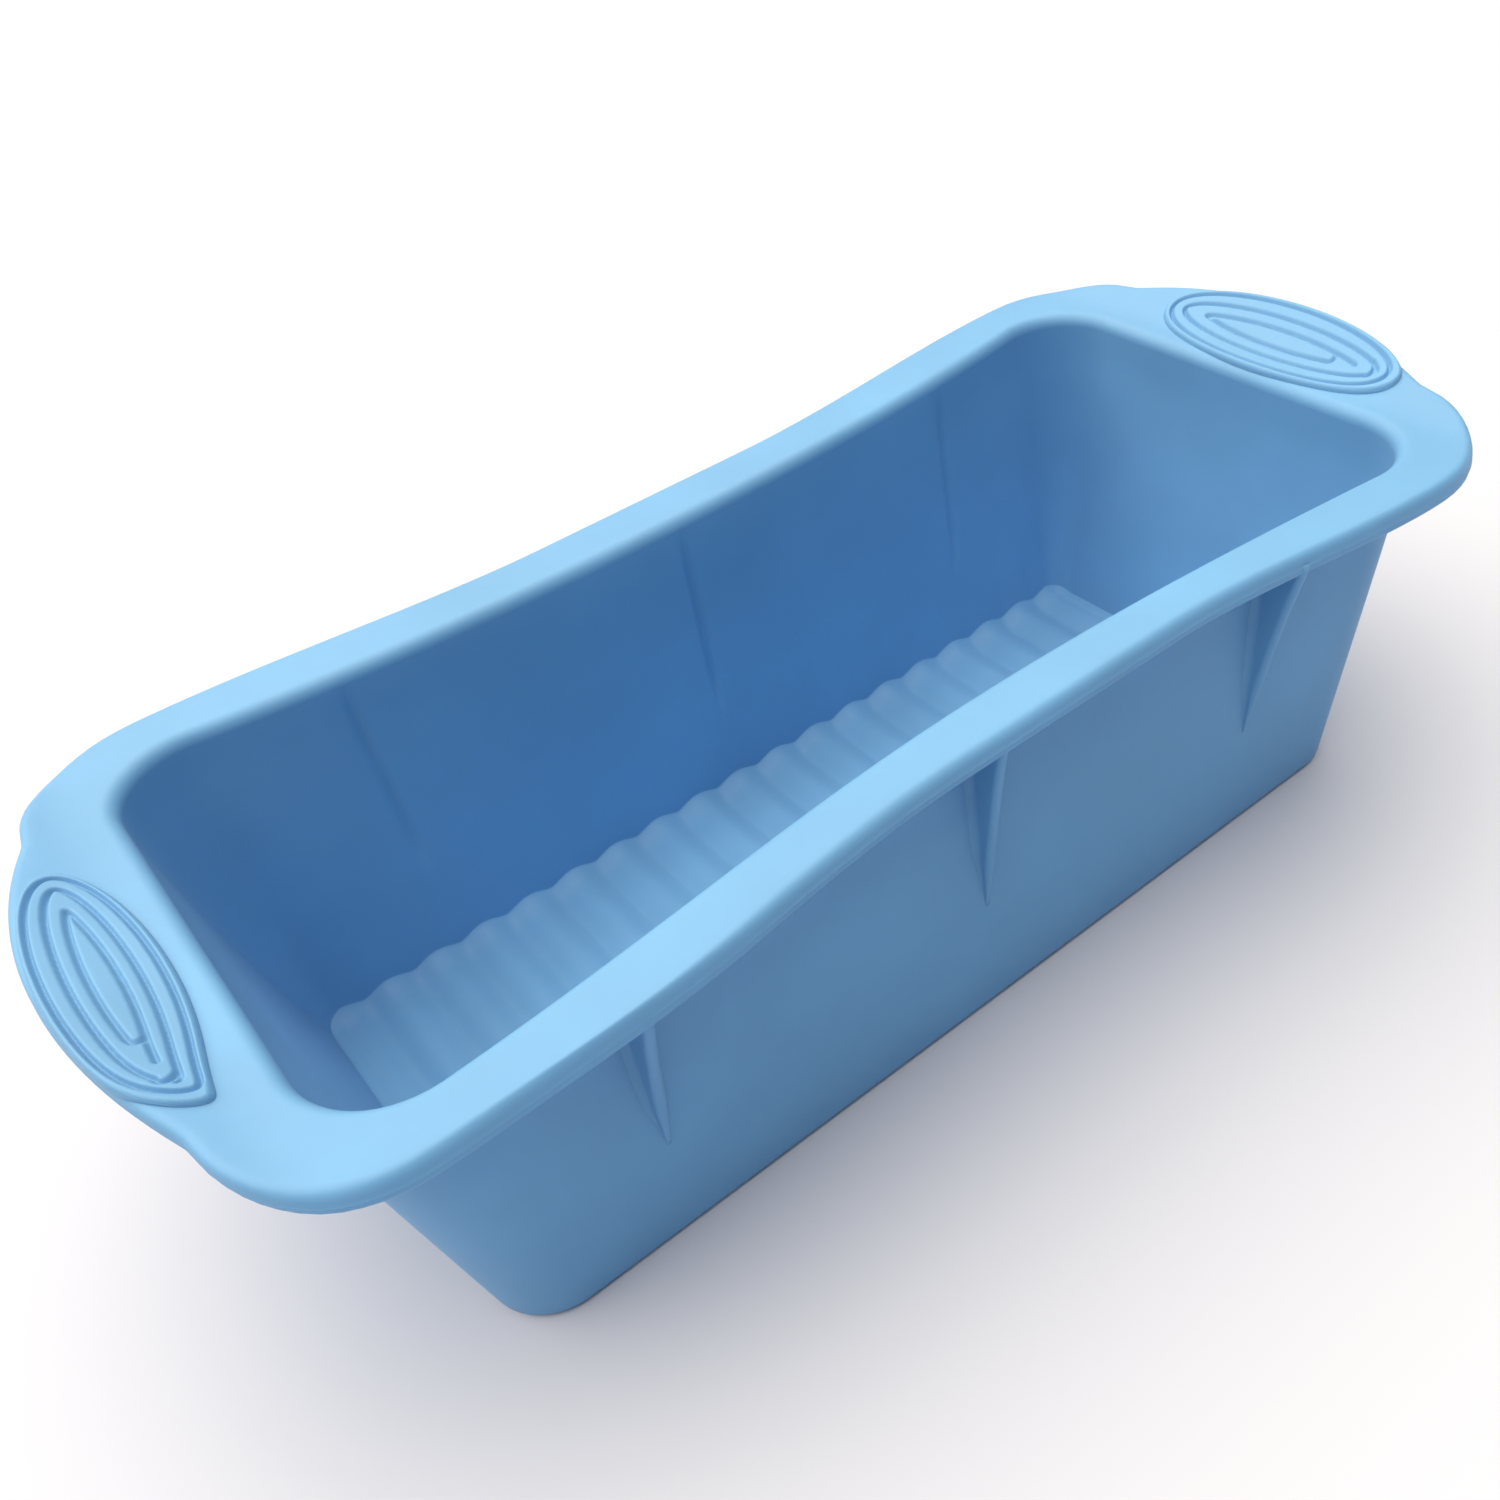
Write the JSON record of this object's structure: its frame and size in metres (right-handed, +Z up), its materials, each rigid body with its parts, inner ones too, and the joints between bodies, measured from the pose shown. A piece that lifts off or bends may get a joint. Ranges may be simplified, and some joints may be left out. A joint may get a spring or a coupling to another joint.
{
  "type": "silicone loaf mould for soap",
  "caption": "Long waisted tub mould for loaf soap, with a fluted floor, a wide flange that turns up into a grip at each end, and ribs under the flange.",
  "frame": {"origin": "the middle of the flat underside that the mould stands on", "axes": "+X runs along the mould from the left grip to the right grip, +Y points to the back long side, and +Z points up out of the mouth"},
  "size_m": [0.2732, 0.124, 0.0808],
  "materials": {
    "blue_silicone": "matte"
  },
  "bodies": {
    "root": {"fluted_floor": "blue_silicone", "front_wall": "blue_silicone", "back_wall": "blue_silicone", "left_end_wall": "blue_silicone", "right_end_wall": "blue_silicone", "front_flange": "blue_silicone", "back_flange": "blue_silicone", "left_flange": "blue_silicone", "right_flange": "blue_silicone", "left_grip_pad": "blue_silicone", "right_grip_pad": "blue_silicone", "front_rib_left": "blue_silicone", "front_rib_middle": "blue_silicone", "front_rib_right": "blue_silicone", "back_rib_left": "blue_silicone", "back_rib_middle": "blue_silicone", "back_rib_right": "blue_silicone"}
  },
  "joints": []
}
